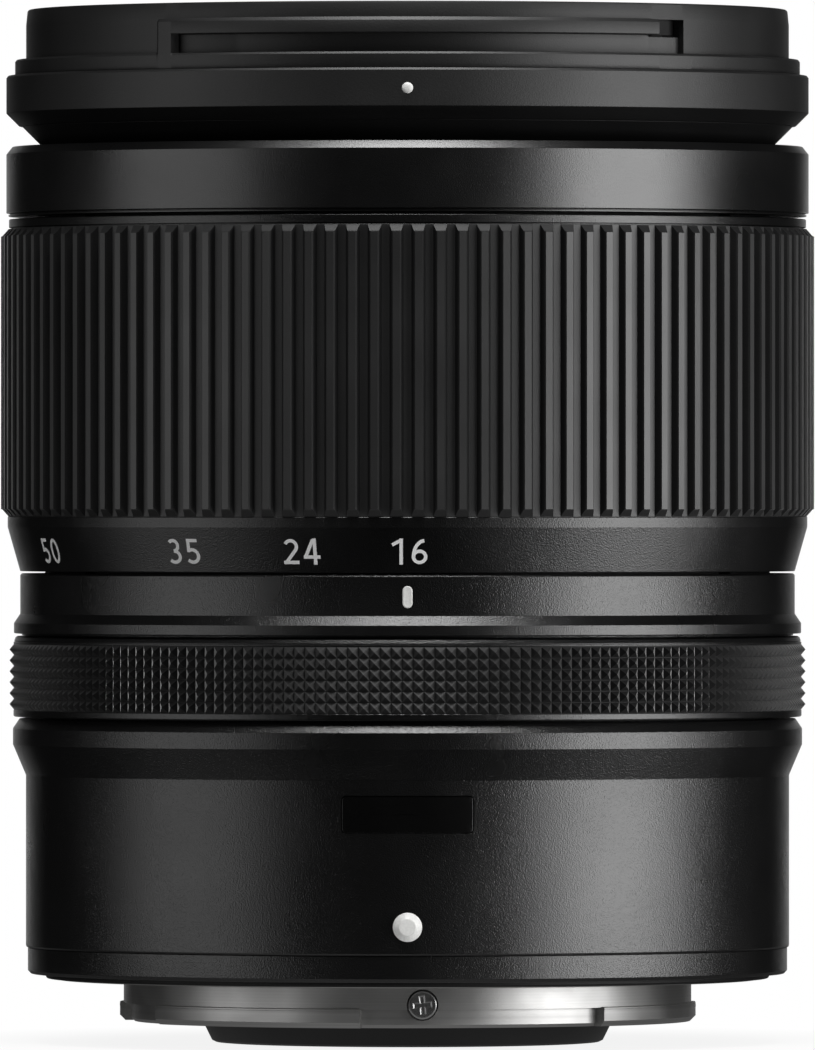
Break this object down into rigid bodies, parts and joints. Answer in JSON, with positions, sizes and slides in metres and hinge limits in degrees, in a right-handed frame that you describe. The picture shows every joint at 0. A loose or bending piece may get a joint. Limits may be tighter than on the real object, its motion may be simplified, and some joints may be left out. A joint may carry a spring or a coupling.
{
  "type": "camera zoom lens",
  "caption": "Camera zoom lens with a ribbed rubber zoom ring, a knurled control ring, an extending front barrel, a filter thread with hood rail and a metal bayonet mount.",
  "frame": {"origin": "centre of the mounting flange face on the optical axis", "axes": "+Z along the optical axis to the front, the index marks face -Y, +X to the right of someone facing them"},
  "size_m": [0.0744, 0.0744, 0.0945],
  "materials": {
    "black_plastic": "fine grained black",
    "satin_plastic": "satin black",
    "inner_plastic": "matt black inside",
    "rubber": "matt dark grey",
    "mount_metal": "bright plated",
    "cam_metal": "dark anodised",
    "steel": "bright",
    "brass": "gold plated",
    "white_mark": "white",
    "glass": "coated optical glass",
    "board": "green lacquer",
    "blade_metal": "matt black"
  },
  "bodies": {
    "barrel": {"bayonet_mount": "mount_metal", "mount_screws": "steel", "bayonet_stop_screw": "steel", "mount_seal": "rubber", "rear_baffle": "satin_plastic", "contact_block": "inner_plastic", "contact_pads": "brass", "rear_ring": "satin_plastic", "rear_barrel": "black_plastic", "badge_plate": "satin_plastic", "mount_index_bead": "white_mark", "index_ring": "black_plastic", "zoom_index_mark": "white_mark", "front_trim_ring": "satin_plastic", "fixed_tube": "inner_plastic", "rear_frame": "inner_plastic", "main_board": "board", "rear_lens": "glass", "guide_rods": "steel", "focus_motor": "steel"},
    "zoom": {"zoom_ring": "black_plastic", "zoom_grip": "rubber", "cam_barrel": "cam_metal", "zoom_key": "steel"},
    "control": {"control_ring": "black_plastic"},
    "front_group": {"front_barrel": "satin_plastic", "front_collar": "satin_plastic", "filter_ring": "satin_plastic", "hood_index_dot": "white_mark", "name_ring": "satin_plastic", "front_cell": "inner_plastic", "front_lens_1": "glass", "front_lens_2": "glass", "front_lens_3": "glass", "front_followers": "brass"},
    "second_group": {"second_cell": "inner_plastic", "second_lens_1": "glass", "second_lens_2": "glass", "second_lens_3": "glass", "second_followers": "brass"},
    "third_group": {"third_cell": "inner_plastic", "third_lens_1": "glass", "third_lens_2": "glass", "third_lens_3": "glass", "third_followers": "brass", "aperture_base": "blade_metal", "aperture_cover": "blade_metal", "aperture_coil": "brass"},
    "aperture": {"aperture_ring": "blade_metal"},
    "focus_group": {"focus_cell": "inner_plastic", "focus_lens": "glass"},
    "lead": {"lead_screw": "steel"},
    "blade_1": {"aperture_blade_1": "blade_metal"},
    "blade_2": {"aperture_blade_2": "blade_metal"},
    "blade_3": {"aperture_blade_3": "blade_metal"},
    "blade_4": {"aperture_blade_4": "blade_metal"},
    "blade_5": {"aperture_blade_5": "blade_metal"},
    "blade_6": {"aperture_blade_6": "blade_metal"},
    "blade_7": {"aperture_blade_7": "blade_metal"}
  },
  "joints": [
    {"name": "zoom_turn", "type": "hinge", "parent": "barrel", "child": "zoom", "pos_m": [0, 0, 0.0555], "axis": [0, 0, 1], "range_deg": [0, 65.5]},
    {"name": "control_turn", "type": "hinge", "parent": "barrel", "child": "control", "pos_m": [0, 0, 0.0278], "axis": [0, 0, 1], "continuous": true},
    {"name": "front_slide", "type": "slide", "parent": "barrel", "child": "front_group", "axis": [0, 0, 1], "range_m": [0, 0.024]},
    {"name": "second_slide", "type": "slide", "parent": "barrel", "child": "second_group", "axis": [0, 0, 1], "range_m": [0, 0.004]},
    {"name": "third_slide", "type": "slide", "parent": "barrel", "child": "third_group", "axis": [0, 0, 1], "range_m": [0, 0.013]},
    {"name": "aperture_turn", "type": "hinge", "parent": "third_group", "child": "aperture", "pos_m": [0, 0, 0.034], "axis": [0, 0, 1], "range_deg": [0, 6.4]},
    {"name": "focus_slide", "type": "slide", "parent": "barrel", "child": "focus_group", "axis": [0, 0, 1], "range_m": [0, 0.004]},
    {"name": "lead_turn", "type": "hinge", "parent": "barrel", "child": "lead", "pos_m": [-0.00722, 0.01983, 0.01], "axis": [0, 0, 1], "range_deg": [0, 1440]},
    {"name": "blade_1_swing", "type": "hinge", "parent": "third_group", "child": "blade_1", "pos_m": [0.0158, 0, 0.035], "axis": [0, 0, 1], "range_deg": [0, 32]},
    {"name": "blade_2_swing", "type": "hinge", "parent": "third_group", "child": "blade_2", "pos_m": [0.00985, 0.01235, 0.035], "axis": [0, 0, 1], "range_deg": [0, 32]},
    {"name": "blade_3_swing", "type": "hinge", "parent": "third_group", "child": "blade_3", "pos_m": [-0.00352, 0.0154, 0.035], "axis": [0, 0, 1], "range_deg": [0, 32]},
    {"name": "blade_4_swing", "type": "hinge", "parent": "third_group", "child": "blade_4", "pos_m": [-0.01424, 0.00686, 0.035], "axis": [0, 0, 1], "range_deg": [0, 32]},
    {"name": "blade_5_swing", "type": "hinge", "parent": "third_group", "child": "blade_5", "pos_m": [-0.01424, -0.00686, 0.035], "axis": [0, 0, 1], "range_deg": [0, 32]},
    {"name": "blade_6_swing", "type": "hinge", "parent": "third_group", "child": "blade_6", "pos_m": [-0.00352, -0.0154, 0.035], "axis": [0, 0, 1], "range_deg": [0, 32]},
    {"name": "blade_7_swing", "type": "hinge", "parent": "third_group", "child": "blade_7", "pos_m": [0.00985, -0.01235, 0.035], "axis": [0, 0, 1], "range_deg": [0, 32]}
  ],
  "couplings": [
    {"joint": "front_slide", "follows": "zoom_turn", "m_per_rad": 0.020994},
    {"joint": "second_slide", "follows": "zoom_turn", "m_per_rad": 0.003499},
    {"joint": "third_slide", "follows": "zoom_turn", "m_per_rad": 0.011372},
    {"joint": "lead_turn", "follows": "focus_slide", "rad_per_m": 6283.2},
    {"joint": "blade_1_swing", "follows": "aperture_turn", "ratio": 5},
    {"joint": "blade_2_swing", "follows": "aperture_turn", "ratio": 5},
    {"joint": "blade_3_swing", "follows": "aperture_turn", "ratio": 5},
    {"joint": "blade_4_swing", "follows": "aperture_turn", "ratio": 5},
    {"joint": "blade_5_swing", "follows": "aperture_turn", "ratio": 5},
    {"joint": "blade_6_swing", "follows": "aperture_turn", "ratio": 5},
    {"joint": "blade_7_swing", "follows": "aperture_turn", "ratio": 5}
  ]
}
